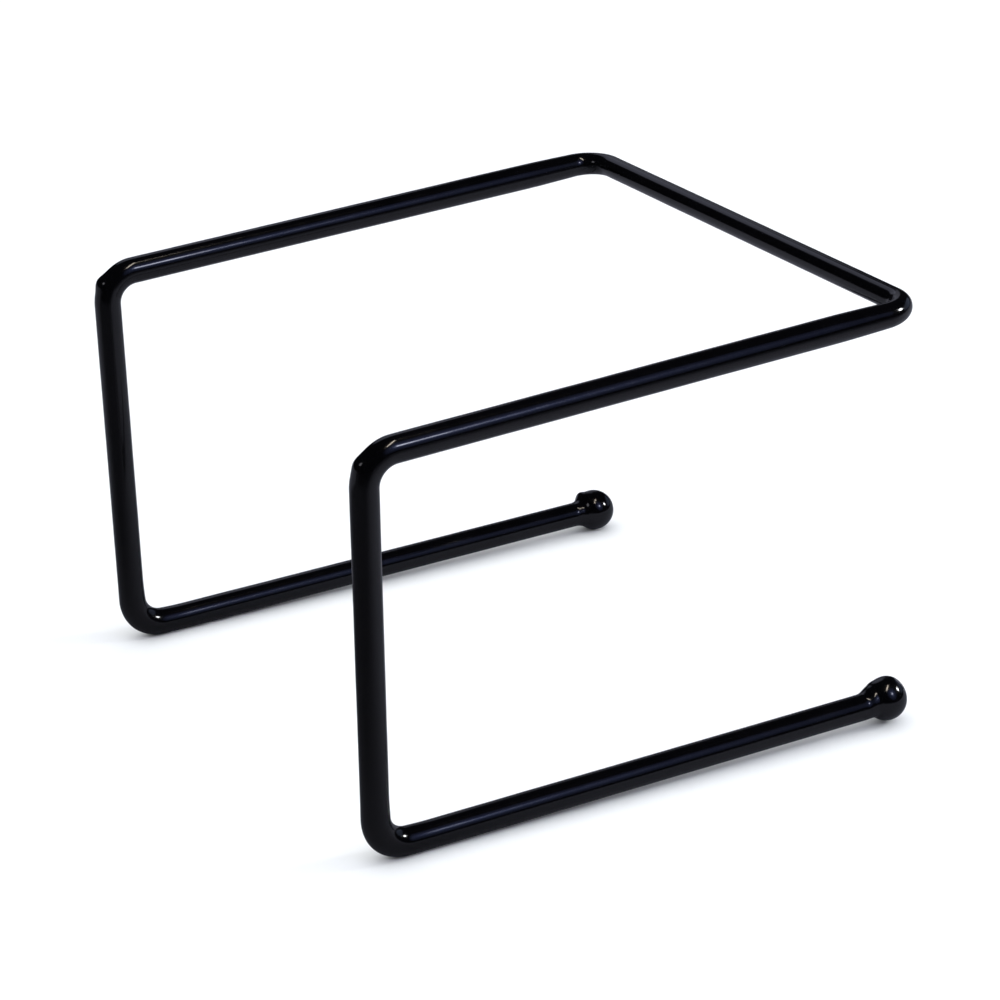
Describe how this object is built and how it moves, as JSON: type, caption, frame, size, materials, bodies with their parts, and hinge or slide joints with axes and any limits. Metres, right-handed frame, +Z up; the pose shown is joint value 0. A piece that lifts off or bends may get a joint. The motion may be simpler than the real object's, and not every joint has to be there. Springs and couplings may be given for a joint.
{
  "type": "plate display stand",
  "caption": "Table stand bent from one round steel rod with a glossy black vinyl coat: C-shaped side frames, a front crossbar and ball-ended floor legs hold a plate or pan.",
  "frame": {"origin": "middle of the bounding box, on the surface that the stand rests on", "axes": "+Z up, +Y from the uprights towards the crossbar, +X to the right seen from behind the uprights; the stand mirrors about X = 0"},
  "size_m": [0.249, 0.242, 0.1771],
  "materials": {
    "black_vinyl": "high gloss dip coat, black with a faint blue cast, softly uneven",
    "steel": "plain drawn rod and ball, hidden under the coat",
    "weld_metal": "dull, heat-tinted weld bead, hidden under the coat"
  },
  "bodies": {
    "root": {"steel_rod": "steel", "tip_ball_left": "steel", "tip_ball_right": "steel", "tip_weld_left": "weld_metal", "tip_weld_right": "weld_metal", "vinyl_coat_frame": "black_vinyl", "vinyl_coat_tip_left": "black_vinyl", "vinyl_coat_tip_right": "black_vinyl"}
  },
  "joints": []
}
